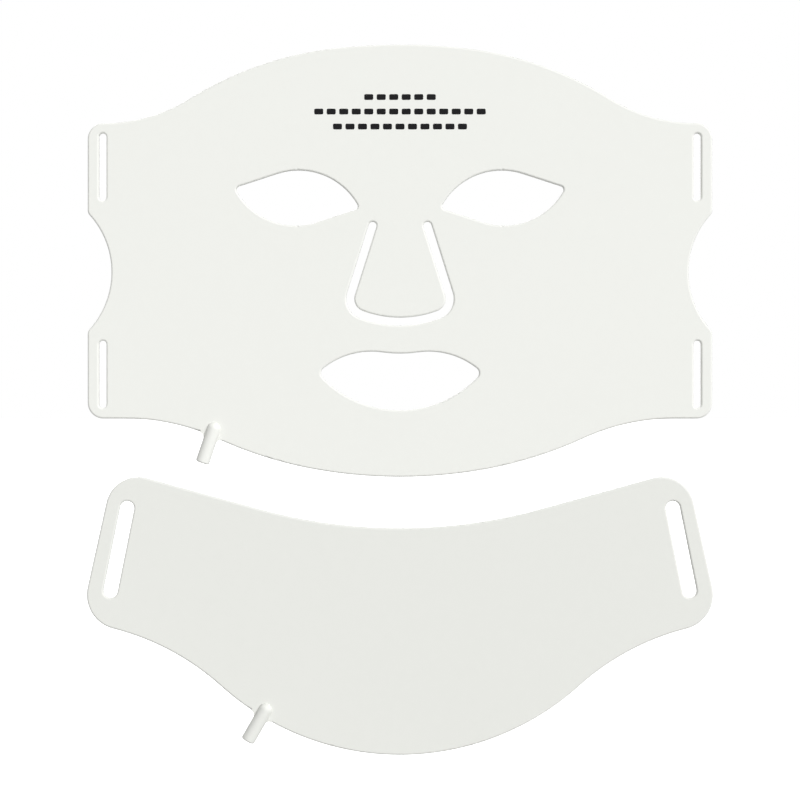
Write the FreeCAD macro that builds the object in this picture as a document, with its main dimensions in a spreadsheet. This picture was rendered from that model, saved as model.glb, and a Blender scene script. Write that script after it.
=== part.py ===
"""Light-therapy face mask and neck panel, two flexible silicone sheets with LEDs moulded inside.

Frame: millimetres, X to the right as seen from the front, Z up, outer faces towards -Y.
The origin is on the middle line at eye height, on the skin side of the face panel.
Each panel is a rear skin, a flexible circuit with its LEDs, and a front skin, cut into a centre
and two sides that fold back around the head; the nose flap folds forward.
"""
import FreeCAD, Part
import Sketcher
import math
import os

Vector = FreeCAD.Vector

SIZES = {
    # layers, counted from the skin side
    "sheet_thickness": 3.2,
    "front_skin_thickness": 1.6,
    "circuit_thickness": 0.2,
    "outer_edge_radius": 0.8,
    "skin_edge_radius": 0.6,
    "circuit_rim_gap": 4.5,
    "circuit_hole_gap": 2.5,
    # face panel outline
    "face_half_width": 125.0,
    "face_top_rise": 60.7,
    "face_chin_drop": 112.4,
    "tab_top_rise": 29.2,
    "tab_bottom_drop": 89.0,
    "tab_corner_radius": 6.3,
    "brow_run": 118.5,
    "brow_radius": 235.0,
    "brow_angle": 6.4,
    "brow_slope": 32.0,
    "jaw_run": 110.0,
    "chin_radius": 193.0,
    "chin_angle": 10.0,
    "jaw_slope": 24.7,
    "ear_notch_radius": 34.0,
    "ear_notch_depth": 9.5,
    "ear_notch_drop": 30.4,
    "ear_notch_corner_radius": 3.0,
    # eye holes
    "eye_centre_offset": 41.2,
    "eye_centre_drop": 0.7,
    "eye_half_length": 25.3,
    "eye_slant": 9.5,
    "eye_lid_radius": 27.2,
    "eye_lid_slope": 18.0,
    "eye_corner_radius": 1.5,
    # mouth hole
    "mouth_bottom_drop": 85.7,
    "mouth_bottom_radius": 43.0,
    "lip_peak_offset": 11.5,
    "lip_peak_drop": 62.2,
    "lip_radius": 31.0,
    "lip_dip": 0.8,
    "mouth_corner_radius": 2.5,
    # nose slot and the flap inside it
    "nose_slot_width": 3.2,
    "nose_top_offset": 11.0,
    "nose_top_drop": 11.8,
    "nose_arm_angle": 17.5,
    "nose_corner_radius": 6.7,
    "nose_bottom_radius": 44.0,
    "nose_bottom_drop": 50.2,
    # face strap slots
    "face_slot_width": 3.0,
    "face_slot_length": 27.0,
    "face_slot_inset": 6.0,
    "face_upper_slot_rise": 11.7,
    "face_lower_slot_drop": 71.3,
    # neck panel outline
    "neck_top_drop": 132.9,
    "neck_bottom_drop": 223.7,
    "neck_chest_radius": 107.0,
    "neck_chest_angle": 42.0,
    "neck_shoulder_radius": 102.0,
    "neck_shoulder_slope": 14.2,
    "neck_lower_corner_radius": 14.0,
    "neck_end_tilt": 12.5,
    "neck_upper_corner_radius": 13.0,
    "neck_top_slope": 15.4,
    "neck_top_radius": 212.0,
    # neck strap slots
    "neck_slot_width": 5.7,
    "neck_slot_length": 39.4,
    "neck_slot_tilt": 11.4,
    "neck_slot_offset": 112.6,
    "neck_slot_drop": 141.4,
    # folds
    "face_fold_offset": 41.0,
    "neck_fold_offset": 28.0,
    # lamps and resistors
    "led_length": 3.5,
    "led_width": 2.8,
    "led_height": 0.8,
    "led_rim_gap": 0.8,
    "face_columns_to_fold": 3,
    "neck_columns_to_fold": 2,
    "led_row_pitch": 14.0,
    "face_first_row_rise": 48.0,
    "neck_first_row_drop": 142.0,
    "resistor_length": 3.2,
    "resistor_width": 1.6,
    "resistor_height": 0.55,
    "face_resistor_count": 6,
    "neck_resistor_count": 4,
    # cable sockets
    "stub_radius": 2.8,
    "stub_length": 11.2,
    "stub_tip_radius": 0.6,
    "stub_buried": 3.0,
    "stub_root_fillet": 2.0,
    "face_stub_tilt": 19.0,
    "neck_stub_tilt": 30.0,
    "face_stub_offset": 75.5,
    "neck_stub_offset": 55.4,
    "socket_radius": 2.1,
    "socket_buried": 2.6,
    "socket_bore_radius": 1.3,
    "socket_bore_depth": 10.0,
    "ferrule_length": 1.2,
    "ferrule_proud": 0.1,
    "contact_depth": 0.3,
    "contact_length": 1.5,
    "contact_first": 3.0,
    "contact_spacing": 3.5,
    "wire_radius": 0.4,
    "wire_offset": 0.9,
    "wire_length": 8.0,
    "solder_length": 1.6,
    "solder_width": 1.3,
    "solder_height": 0.5,
}

# how far a cutting shape runs past what it cuts
OVERRUN = 2.0
# how close two points or planes are to count as the same
SAME_POINT = 0.05
SAME_PLANE = 1e-4
ON_CURVE = 1e-6
INSIDE = 1e-3
# the holes take away at least this share of a sheet
LEAST_CUT = 0.001
# depth of the joint between the rear and the front skin
REAR_SKIN = "(Sizes.sheet_thickness - Sizes.front_skin_thickness)"

doc = FreeCAD.newDocument("led_face_mask")
sheet = doc.addObject("Spreadsheet::Sheet", "Sizes")
for row, (alias, value) in enumerate(SIZES.items(), start=1):
    sheet.set(f"A{row}", alias)
    sheet.set(f"B{row}", str(value))
    sheet.setAlias(f"B{row}", alias)
doc.recompute()


def size(alias):
    """The value of one named cell."""
    return float(sheet.get(alias))


def direction(angle):
    """Unit vector in the sketch plane at an angle in degrees from +X."""
    return Vector(math.cos(math.radians(angle)), math.sin(math.radians(angle)), 0)


def sine(angle):
    return math.sin(math.radians(angle))


def cosine(angle):
    return math.cos(math.radians(angle))


# ---------------------------------------------------------------- outlines in the sheet's plane
class Outline:
    """Lines and arcs drawn one after the other, each starting in the direction the last one ended.

    Left turns are positive. An arc may name the cell that holds its radius.
    """

    def __init__(self, start, heading, mirrored=False):
        self.point = Vector(start[0], start[1], 0)
        self.heading = heading
        self.side = -1 if mirrored else 1
        self.pieces = []
        self.corners = []

    def place(self, point):
        return Vector(self.side * point.x, point.y, 0)

    def line(self, length):
        end = self.point + direction(self.heading) * length
        self.pieces.append((Part.LineSegment(self.place(self.point), self.place(end)), None))
        self.point = end

    def arc(self, radius, turn, cell=None):
        sign = 1 if turn > 0 else -1
        centre = self.point + direction(self.heading + 90 * sign) * radius
        middle = centre + direction(self.heading + turn / 2 - 90 * sign) * radius
        end = centre + direction(self.heading + turn - 90 * sign) * radius
        arc = Part.Arc(self.place(self.point), self.place(middle), self.place(end))
        self.pieces.append((arc, cell))
        self.point = end
        self.heading += turn

    def turn(self, angle):
        """A sharp corner, kept in the list of corners to be rounded."""
        self.corners.append(self.place(self.point))
        self.heading += angle

    def follow(self, steps):
        for name, *values in steps:
            getattr(self, name)(*values)
        return self


def rise_curve(run, rise, crown_radius, crown_angle, slope):
    """Radii of the two arcs that carry a crown arc down to a level edge.

    The crown arc turns crown_angle, the second arc turns on to the slope, and the third turns back
    to level after the whole run and rise.
    """
    across = run - crown_radius * sine(crown_angle)
    down = rise - crown_radius * (1 - cosine(crown_angle))
    a, b = sine(slope) - sine(crown_angle), sine(slope)
    c, d = cosine(crown_angle) - cosine(slope), 1 - cosine(slope)
    scale = a * d - b * c
    return (across * d - b * down) / scale, (a * down - c * across) / scale


def face_outline():
    """Whole rim of the face panel, from the chin round the right side and back."""
    jaw_radius, jaw_blend = rise_curve(size("jaw_run"), size("face_chin_drop") - size("tab_bottom_drop"),
                                       size("chin_radius"), size("chin_angle"), size("jaw_slope"))
    brow_side, brow_blend = rise_curve(size("brow_run"), size("face_top_rise") - size("tab_top_rise"),
                                       size("brow_radius"), size("brow_angle"), size("brow_slope"))
    corner = size("tab_corner_radius")
    notch = size("ear_notch_radius")
    notch_corner = size("ear_notch_corner_radius")
    reach = notch + notch_corner
    notch_angle = math.degrees(math.acos((reach - size("ear_notch_depth")) / reach))
    half_notch = reach * sine(notch_angle)
    level = size("face_half_width") - corner
    half = [
        ("arc", size("chin_radius"), size("chin_angle"), "chin_radius"),
        ("arc", jaw_radius, size("jaw_slope") - size("chin_angle")),
        ("arc", jaw_blend, -size("jaw_slope")),
        ("line", level - size("jaw_run")),
        ("arc", corner, 90, "tab_corner_radius"),
        ("line", size("tab_bottom_drop") - corner - size("ear_notch_drop") - half_notch),
        ("arc", notch_corner, notch_angle, "ear_notch_corner_radius"),
        ("arc", notch, -2 * notch_angle, "ear_notch_radius"),
        ("arc", notch_corner, notch_angle, "ear_notch_corner_radius"),
        ("line", size("tab_top_rise") - corner + size("ear_notch_drop") - half_notch),
        ("arc", corner, 90, "tab_corner_radius"),
        ("line", level - size("brow_run")),
        ("arc", brow_blend, -size("brow_slope")),
        ("arc", brow_side, size("brow_slope") - size("brow_angle")),
        ("arc", size("brow_radius"), size("brow_angle"), "brow_radius"),
    ]
    return Outline((0, -size("face_chin_drop")), 0).follow(half + half[::-1])


def neck_outline():
    """Whole rim of the neck panel; the two straight lengths close the half outline."""
    tilt, slope = size("neck_end_tilt"), size("neck_top_slope")
    first = [
        ("arc", size("neck_chest_radius"), size("neck_chest_angle"), "neck_chest_radius"),
        ("arc", size("neck_shoulder_radius"), size("neck_shoulder_slope") - size("neck_chest_angle"),
         "neck_shoulder_radius"),
        ("arc", size("neck_lower_corner_radius"), 90 + tilt - size("neck_shoulder_slope"),
         "neck_lower_corner_radius"),
    ]
    corner = ("arc", size("neck_upper_corner_radius"), 90 - tilt + slope, "neck_upper_corner_radius")
    last = ("arc", size("neck_top_radius"), -slope, "neck_top_radius")
    start = (0, -size("neck_bottom_drop"))
    bare = Outline(start, 0).follow(first + [corner, last])
    gap = Vector(0, -size("neck_top_drop"), 0) - bare.point
    end_line, top_line = direction(90 + tilt), direction(180 + slope)
    scale = end_line.x * top_line.y - end_line.y * top_line.x
    end_length = (gap.x * top_line.y - gap.y * top_line.x) / scale
    top_length = (end_line.x * gap.y - end_line.y * gap.x) / scale
    half = first + [("line", end_length), corner, ("line", top_length), last]
    return Outline(start, 0).follow(half + half[::-1])


def eye_outline(mirrored):
    """Eye hole, the same turned half a turn: a straight lid line, then a round lid."""
    centre = Vector(-size("eye_centre_offset"), -size("eye_centre_drop"), 0)
    outer = centre + direction(180 - size("eye_slant")) * size("eye_half_length")
    inner = centre * 2 - outer
    radius, slope = size("eye_lid_radius"), size("eye_lid_slope")
    # length of the lid line that lets the round lid end in the inner corner
    base = outer + direction(slope - 90) * radius - inner
    along = base.dot(direction(slope))
    length = -along - math.sqrt(along * along - base.dot(base) + radius * radius)
    if length < 0:
        length = -along + math.sqrt(along * along - base.dot(base) + radius * radius)
    lid_centre = outer + direction(slope) * length + direction(slope - 90) * radius
    end = inner - lid_centre
    turn = slope + 90 - math.degrees(math.atan2(end.y, end.x))
    half = [("line", length), ("arc", radius, -turn, "eye_lid_radius"), ("turn", turn - 180)]
    return Outline((outer.x, outer.y), slope, mirrored).follow(half + half)


def mouth_outline():
    """Mouth hole: one round lower lip and an upper lip with two peaks."""
    low, lip = size("mouth_bottom_radius"), size("lip_radius")
    low_centre = Vector(0, low - size("mouth_bottom_drop"), 0)
    lip_centre = Vector(size("lip_peak_offset"), -size("lip_peak_drop") - lip, 0)
    between = lip_centre - low_centre
    span = between.Length
    along = (span * span + low * low - lip * lip) / (2 * span)
    aside = math.sqrt(low * low - along * along)
    across = Vector(-between.y, between.x, 0) / span
    tip = low_centre + between * (along / span) + across * aside
    low_turn = math.degrees(math.atan2(tip.x - low_centre.x, low_centre.y - tip.y))
    lip_turn = math.degrees(math.atan2(tip.x - lip_centre.x, tip.y - lip_centre.y))
    dip_turn = math.degrees(2 * math.atan(size("lip_dip") / size("lip_peak_offset")))
    dip_radius = size("lip_peak_offset") / sine(dip_turn) - lip
    half = [
        ("arc", low, low_turn, "mouth_bottom_radius"),
        ("turn", 180 - lip_turn - low_turn),
        ("arc", lip, lip_turn + dip_turn, "lip_radius"),
        ("arc", dip_radius, -dip_turn),
    ]
    return Outline((0, -size("mouth_bottom_drop")), 0).follow(half + half[::-1])


def nose_line():
    """Arm length and turns of the middle line of the U-shaped nose slot."""
    heading = size("nose_arm_angle") - 90
    corner, bottom = size("nose_corner_radius"), size("nose_bottom_radius")
    top = Vector(size("nose_top_offset"), -size("nose_top_drop"), 0)
    bottom_centre = Vector(0, bottom - size("nose_bottom_drop"), 0)
    base = top + direction(heading - 90) * corner - bottom_centre
    along = base.dot(direction(heading))
    arm = -along + math.sqrt(along * along - base.dot(base) + (bottom - corner) ** 2)
    corner_centre = base + direction(heading) * arm
    bottom_half = math.degrees(math.asin(corner_centre.x / (bottom - corner)))
    return top, heading, arm, 90 + size("nose_arm_angle") - bottom_half, bottom_half


def nose_slot_outline():
    top, heading, arm, corner_turn, bottom_half = nose_line()
    half_width = size("nose_slot_width") / 2
    corner, bottom = size("nose_corner_radius"), size("nose_bottom_radius")
    steps = []
    for offset, sign in ((half_width, -1), (-half_width, 1)):
        steps += [
            ("line", arm),
            ("arc", corner + offset, sign * corner_turn),
            ("arc", bottom + offset, 2 * sign * bottom_half),
            ("arc", corner + offset, sign * corner_turn),
            ("line", arm),
            ("arc", half_width, -180),
        ]
    start = top + direction(heading + 90) * half_width
    return Outline((start.x, start.y), heading).follow(steps)


def nose_flap_outline():
    """Middle line of the nose slot, closed along the fold across its top."""
    top, heading, arm, corner_turn, bottom_half = nose_line()
    steps = [
        ("line", arm),
        ("arc", size("nose_corner_radius"), -corner_turn, "nose_corner_radius"),
        ("arc", size("nose_bottom_radius"), -2 * bottom_half, "nose_bottom_radius"),
        ("arc", size("nose_corner_radius"), -corner_turn, "nose_corner_radius"),
        ("line", arm),
        ("turn", -90 + size("nose_arm_angle")),
        ("line", 2 * size("nose_top_offset")),
    ]
    return Outline((top.x, top.y), heading).follow(steps)


def slot_outline(centre, length, width_cell, tilt):
    """Straight slot with round ends; tilt leans its top to the left."""
    width = size(width_cell)
    heading = 90 + tilt
    straight = length - width
    start = Vector(*centre, 0) - direction(heading) * (straight / 2) + direction(tilt) * (width / 2)
    half = [("line", straight), ("arc", width / 2, 180)]
    return Outline((start.x, start.y), heading).follow(half + half)


def face_slot_outlines():
    x = size("face_half_width") - size("face_slot_inset")
    rows = (size("face_upper_slot_rise"), -size("face_lower_slot_drop"))
    places = [(side * x, z) for side in (-1, 1) for z in rows]
    return [slot_outline(place, size("face_slot_length"), "face_slot_width", 0) for place in places]


def neck_slot_outlines():
    places = [(side * size("neck_slot_offset"), -size("neck_slot_drop"), side) for side in (-1, 1)]
    return [slot_outline((x, z), size("neck_slot_length"), "neck_slot_width", side * size("neck_slot_tilt"))
            for x, z, side in places]


# ---------------------------------------------------------------- sketches and bodies
def origin_plane(body, role):
    return next(item for item in body.Origin.OriginFeatures if item.Role == role)


def draw(sketch, outline):
    """Put an outline in a sketch: joined ends, and radii bound to their cells."""
    first = sketch.GeometryCount
    for geometry, _ in outline.pieces:
        sketch.addGeometry(geometry, False)
    count = len(outline.pieces)
    for index in range(count):
        here, there = first + index, first + (index + 1) % count
        pairs = [(a, b) for a in (1, 2) for b in (1, 2)]
        near = min(pairs, key=lambda pair: (sketch.getPoint(here, pair[0])
                                            - sketch.getPoint(there, pair[1])).Length)
        sketch.addConstraint(Sketcher.Constraint("Coincident", here, near[0], there, near[1]))
    for index, (_, cell) in enumerate(outline.pieces):
        if cell:
            radius = Sketcher.Constraint("Radius", first + index, size(cell))
            number = sketch.addConstraint(radius)
            sketch.setExpression(f"Constraints[{number}]", f"Sizes.{cell}")


def add_sketch(body, name, outlines, offset_expression):
    """Sketch on the body's front plane, moved out from the skin side."""
    sketch = body.newObject("Sketcher::SketchObject", name)
    sketch.AttachmentSupport = [(origin_plane(body, "XZ_Plane"), "")]
    sketch.MapMode = "FlatFace"
    sketch.setExpression("AttachmentOffset.Base.z", offset_expression)
    for outline in outlines:
        draw(sketch, outline)
    return sketch


def edges_at(shape, places):
    """Names of the edges that run through the sheet at the given places."""
    names = []
    for number, edge in enumerate(shape.Edges, start=1):
        ends = [vertex.Point for vertex in edge.Vertexes]
        if len(ends) == 2 and abs(ends[0].y - ends[1].y) > SAME_POINT:
            middle = Vector(ends[0].x, ends[0].z, 0)
            if any((middle - place).Length < SAME_POINT for place in places):
                names.append(f"Edge{number}")
    return names


def edges_in_plane(shape, y):
    """Names of the edges that lie in the plane at depth y."""
    names = []
    for number, edge in enumerate(shape.Edges, start=1):
        box = edge.BoundBox
        if abs(box.YMin - y) < SAME_PLANE and abs(box.YMax - y) < SAME_PLANE:
            names.append(f"Edge{number}")
    return names


def add_fillet(body, name, edges, cell):
    base = body.Tip
    fillet = body.newObject("PartDesign::Fillet", name)
    fillet.Base = (base, edges)
    fillet.setExpression("Radius", f"Sizes.{cell}")
    doc.recompute()


def skin_body(name, rim, holes, rounded, offset, thickness, edge_depth, edge_cell):
    """One silicone skin: padded from the rim, holes cut through, corners and long edges rounded."""
    body = doc.addObject("PartDesign::Body", name)
    pad = body.newObject("PartDesign::Pad", f"{name}_pad")
    pad.Profile = add_sketch(body, f"{name}_rim", [rim], offset)
    pad.setExpression("Length", thickness)
    doc.recompute()
    full_volume = body.Shape.Volume
    pocket = body.newObject("PartDesign::Pocket", f"{name}_pocket")
    pocket.Profile = add_sketch(body, f"{name}_holes", holes, offset)
    pocket.Type = "ThroughAll"
    pocket.Midplane = True
    doc.recompute()
    if body.Shape.Volume > full_volume * (1 - LEAST_CUT):
        raise RuntimeError(f"{name}: the holes cut nothing")
    for number, (outlines, cell) in enumerate(rounded, start=1):
        places = [corner for outline in outlines for corner in outline.corners]
        edges = edges_at(body.Shape, places)
        if len(edges) != len(places):
            raise RuntimeError(f"{name}: {len(edges)} corner edges for {len(places)} corners")
        add_fillet(body, f"{name}_corners_{number}", edges, cell)
    add_fillet(body, f"{name}_edge", edges_in_plane(body.Shape, edge_depth), edge_cell)
    return body


def add_part(kind, name, **bound):
    """A Part primitive or boolean whose sizes are bound to expressions."""
    item = doc.addObject(f"Part::{kind}", name)
    for key, expression in bound.items():
        item.setExpression(key, expression)
    return item


def boolean(kind, name, base, tool):
    item = doc.addObject(f"Part::{kind}", name)
    item.Base = base
    item.Tool = tool
    return item


def compound(name, items):
    item = doc.addObject("Part::Compound", name)
    item.Links = items
    return item


def fixed_part(name, shape):
    """A sub-part made of many like solids, placed by a rule."""
    item = doc.addObject("Part::Feature", name)
    item.Shape = shape
    item.Placement = FreeCAD.Placement()
    return item


def grown_plate(name, sketch, gap_expression, offset_expression, thickness_expression):
    """Plate with a sketch's outline grown (or shrunk) by a gap."""
    grown = doc.addObject("Part::Offset2D", f"{name}_outline")
    grown.Source = sketch
    grown.setExpression("Value", gap_expression)
    grown.Join = "Arc"
    plate = doc.addObject("Part::Extrusion", name)
    plate.Base = grown
    plate.DirMode = "Custom"
    plate.Dir = Vector(0, -1, 0)
    plate.Solid = True
    plate.setExpression("LengthFwd", thickness_expression)
    plate.setExpression("Placement.Base.y", f"-({offset_expression})")
    return plate


def panel_layers(panel, rim, holes, rounded):
    """Front skin with its circuit recess, rear skin and circuit of one whole panel."""
    front = skin_body(f"{panel}_front_sheet", rim, holes, rounded, REAR_SKIN,
                      "Sizes.front_skin_thickness", -size("sheet_thickness"), "outer_edge_radius")
    rear = skin_body(f"{panel}_rear_sheet", rim, holes, rounded, "0", REAR_SKIN, 0, "skin_edge_radius")
    outlines = doc.addObject("PartDesign::Body", f"{panel}_circuit_outlines")
    rim_sketch = add_sketch(outlines, f"{panel}_circuit_rim", [rim], "0")
    doc.recompute()
    plate = grown_plate(f"{panel}_circuit_plate", rim_sketch, "-Sizes.circuit_rim_gap", REAR_SKIN,
                        "Sizes.circuit_thickness")
    cutters = []
    for number, hole in enumerate(holes, start=1):
        hole_sketch = add_sketch(outlines, f"{panel}_circuit_hole_{number}", [hole], "0")
        doc.recompute()
        cutters.append(grown_plate(f"{panel}_circuit_cutter_{number}", hole_sketch,
                                   "Sizes.circuit_hole_gap", f"{REAR_SKIN} - {OVERRUN}",
                                   f"Sizes.circuit_thickness + {2 * OVERRUN}"))
    circuit = boolean("Cut", f"{panel}_circuit_sheet", plate,
                      compound(f"{panel}_circuit_cutters", cutters))
    recessed = boolean("Cut", f"{panel}_front_recessed", front, circuit)
    doc.recompute()
    return {"front_skin": recessed, "rear_skin": rear, "circuit": circuit}


def zone_box(panel, zone):
    """Block that holds one zone of a panel, between its folds or outside them."""
    fold = f"Sizes.{panel}_fold_offset"
    reach = "2 * Sizes.face_half_width"
    starts = {"centre": f"-{fold}", "left": f"-{reach}", "right": fold}
    length = f"2 * {fold}" if zone == "centre" else f"{reach} - {fold}"
    box = add_part("Box", f"{panel}_{zone}_zone", Length=length, Height="4 * Sizes.face_half_width",
                   Width=f"Sizes.sheet_thickness + {2 * OVERRUN}")
    box.setExpression("Placement.Base.x", starts[zone])
    box.setExpression("Placement.Base.y", f"-(Sizes.sheet_thickness + {OVERRUN})")
    box.setExpression("Placement.Base.z", f"-(Sizes.neck_bottom_drop + {OVERRUN})")
    return box


def nose_flap_block():
    """Block over the nose flap, out to the middle of its slot and up to its fold."""
    body = doc.addObject("PartDesign::Body", "nose_flap_zone")
    pad = body.newObject("PartDesign::Pad", "nose_flap_zone_pad")
    pad.Profile = add_sketch(body, "nose_flap_zone_rim", [nose_flap_outline()], f"-{OVERRUN}")
    pad.setExpression("Length", f"Sizes.sheet_thickness + {2 * OVERRUN}")
    doc.recompute()
    return body


# ---------------------------------------------------------------- lamps and resistors
def chip(x, z, width, length, height):
    """One surface-mounted part standing on the skin side of the circuit."""
    floor = size("front_skin_thickness") - size("sheet_thickness")
    return Part.makeBox(width, height, length, Vector(x - width / 2, floor, z - length / 2))


def chip_fits(circuit, x, z, width, length):
    """True where the circuit carries the whole chip with its rim gap."""
    middle = size("front_skin_thickness") - size("sheet_thickness") - size("circuit_thickness") / 2
    reach_x, reach_z = width / 2 + size("led_rim_gap"), length / 2 + size("led_rim_gap")
    corners = [(x + a * reach_x, z + b * reach_z) for a in (-1, 1) for b in (-1, 1)]
    return all(circuit.isInside(Vector(a, middle, b), INSIDE, True) for a, b in corners)


def row_heights(first, lowest):
    count = int((first - lowest) / size("led_row_pitch")) + 1
    return [first - row * size("led_row_pitch") for row in range(count)]


def zone_of(panel, x, z, flap):
    fold = size(f"{panel}_fold_offset")
    if flap is not None and flap.isInside(Vector(x, -size("sheet_thickness") / 2, z), INSIDE, True):
        return "nose_flap"
    if abs(x) < fold:
        return f"{panel}_centre"
    return f"{panel}_left" if x < 0 else f"{panel}_right"


def place_lamps(panel, circuit, first_row, lowest, flap):
    """Red and infrared LEDs in turn on a grid, wherever the circuit carries them.

    The columns divide the fold distance evenly, so that no lamp crosses a fold.
    """
    pitch = size(f"{panel}_fold_offset") / size(f"{panel}_columns_to_fold")
    columns = int(size("face_half_width") / pitch) + 1
    width, length = size("led_width"), size("led_length")
    groups = {}
    for row, z in enumerate(row_heights(first_row, lowest)):
        for column in range(-columns, columns):
            x = (column + 0.5) * pitch
            if chip_fits(circuit, x, z, width, length):
                kind = "red" if (row + column) % 2 else "infrared"
                name = f"{zone_of(panel, x, z, flap)}_{kind}_leds"
                groups.setdefault(name, []).append(chip(x, z, width, length, size("led_height")))
    return {name: fixed_part(name, Part.makeCompound(boxes)) for name, boxes in sorted(groups.items())}


def place_resistors(panel, circuit, first_row, lowest, near):
    """The nearest free places to the cable between the lamps' rows and columns, outside the left fold."""
    pitch = size(f"{panel}_fold_offset") / size(f"{panel}_columns_to_fold")
    length, width = size("resistor_length"), size("resistor_width")
    columns = range(int(size(f"{panel}_columns_to_fold")) + 1, int(size("face_half_width") / pitch) + 1)
    heights = [z - size("led_row_pitch") / 2 for z in row_heights(first_row, lowest)]
    places = [(-column * pitch, z) for column in columns for z in heights]
    places = [place for place in places if chip_fits(circuit, *place, length, width)]
    places.sort(key=lambda place: math.hypot(place[0] - near.x, place[1] - near.z))
    chosen = places[:int(size(f"{panel}_resistor_count"))]
    chips = [chip(x, z, length, width, size("resistor_height")) for x, z in chosen]
    return fixed_part(f"{panel}_resistors", Part.makeCompound(chips))


# ---------------------------------------------------------------- cable sockets
def stub_frame(root, tilt):
    """Placement at the rim, on the stub's axis: Z out along the stub, Y towards the skin side.

    The stub lies flush with the panel's skin side.
    """
    out = Vector(-sine(tilt), 0, -cosine(tilt))
    back = Vector(0, 1, 0)
    base = Vector(root.x, -size("stub_radius"), root.y)
    return FreeCAD.Placement(base, FreeCAD.Rotation(back.cross(out), back, out, "ZYX"))


def shifted(frame, x, y, z):
    return frame.multiply(FreeCAD.Placement(Vector(x, y, z), FreeCAD.Rotation()))


def revolved_body(name, frame, profiles):
    """Body of revolution about the stub's axis; each profile is a list of (radius, height) cells."""
    body = doc.addObject("PartDesign::Body", name)
    sketch = body.newObject("Sketcher::SketchObject", f"{name}_profile")
    sketch.AttachmentSupport = [(origin_plane(body, "XZ_Plane"), "")]
    sketch.MapMode = "FlatFace"
    for profile in profiles:
        first = sketch.GeometryCount
        points = [Vector(*[float(sketch.evalExpression(cell)) for cell in corner], 0)
                  for corner in profile]
        for start, end in zip(points, points[1:] + points[:1]):
            sketch.addGeometry(Part.LineSegment(start, end), False)
        for index, (point, cells) in enumerate(zip(points, profile)):
            line = first + index
            before = first + (index - 1) % len(points)
            sketch.addConstraint(Sketcher.Constraint("Coincident", before, 2, line, 1))
            for kind, value, cell in (("DistanceX", point.x, cells[0]), ("DistanceY", point.y, cells[1])):
                number = sketch.addConstraint(Sketcher.Constraint(kind, -1, 1, line, 1, value))
                sketch.setExpression(f"Constraints[{number}]", cell)
    turned = body.newObject("PartDesign::Revolution", f"{name}_revolution")
    turned.Profile = sketch
    turned.ReferenceAxis = (sketch, ["V_Axis"])
    turned.Angle = 360
    body.Placement = frame
    return body


def rectangle(inner, outer, low, high):
    return [(inner, low), (outer, low), (outer, high), (inner, high)]


def cable_socket(panel, frame):
    """Socket body, nickel ferrule and contact rings of one cable socket."""
    bore, outer = "Sizes.socket_bore_radius", "Sizes.socket_radius"
    mouth = "(Sizes.stub_length + Sizes.ferrule_proud)"
    top = f"{mouth} - Sizes.ferrule_length"
    groove = f"{bore} + Sizes.contact_depth"
    rings = []
    for number in (0, 1):
        high = f"{mouth} - Sizes.contact_first - {number} * Sizes.contact_spacing"
        rings.append((f"{high} - Sizes.contact_length", high))
    profile = [("0", "-Sizes.socket_buried"), (outer, "-Sizes.socket_buried"), (outer, top), (bore, top)]
    for low, high in rings:
        profile += [(bore, high), (groove, high), (groove, low), (bore, low)]
    profile += [(bore, f"{mouth} - Sizes.socket_bore_depth"), ("0", f"{mouth} - Sizes.socket_bore_depth")]
    return {
        f"{panel}_socket_body": revolved_body(f"{panel}_socket_body", frame, [profile]),
        f"{panel}_socket_ferrule": revolved_body(f"{panel}_socket_ferrule", frame,
                                                 [rectangle(bore, outer, top, mouth)]),
        f"{panel}_socket_contacts": revolved_body(f"{panel}_socket_contacts", frame,
                                                  [rectangle(bore, groove, *ring) for ring in rings]),
    }


def lead_wires(panel, frame):
    """Two lead wires from the socket's back along the circuit's front, and their solder joints."""
    depth = size("stub_radius") + size("front_skin_thickness") - size("sheet_thickness")
    depth = depth - size("circuit_thickness")
    wires, joints = [], []
    for side in (-1, 1):
        wire = add_part("Cylinder", f"{panel}_wire_{side + 2}", Radius="Sizes.wire_radius",
                        Height="Sizes.wire_length")
        x = side * size("wire_offset")
        end = -size("socket_buried") - size("wire_length")
        wire.Placement = shifted(frame, x, depth - size("wire_radius"), end)
        joint = add_part("Box", f"{panel}_joint_{side + 2}", Length="Sizes.solder_width",
                         Width="Sizes.solder_height", Height="Sizes.solder_length")
        joint.Placement = shifted(frame, x - size("solder_width") / 2, depth - size("solder_height"),
                                  end - size("solder_length"))
        wires.append(wire)
        joints.append(joint)
    return {
        f"{panel}_lead_wires": compound(f"{panel}_lead_wires", wires),
        f"{panel}_solder_joints": compound(f"{panel}_solder_joints", joints),
    }


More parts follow.
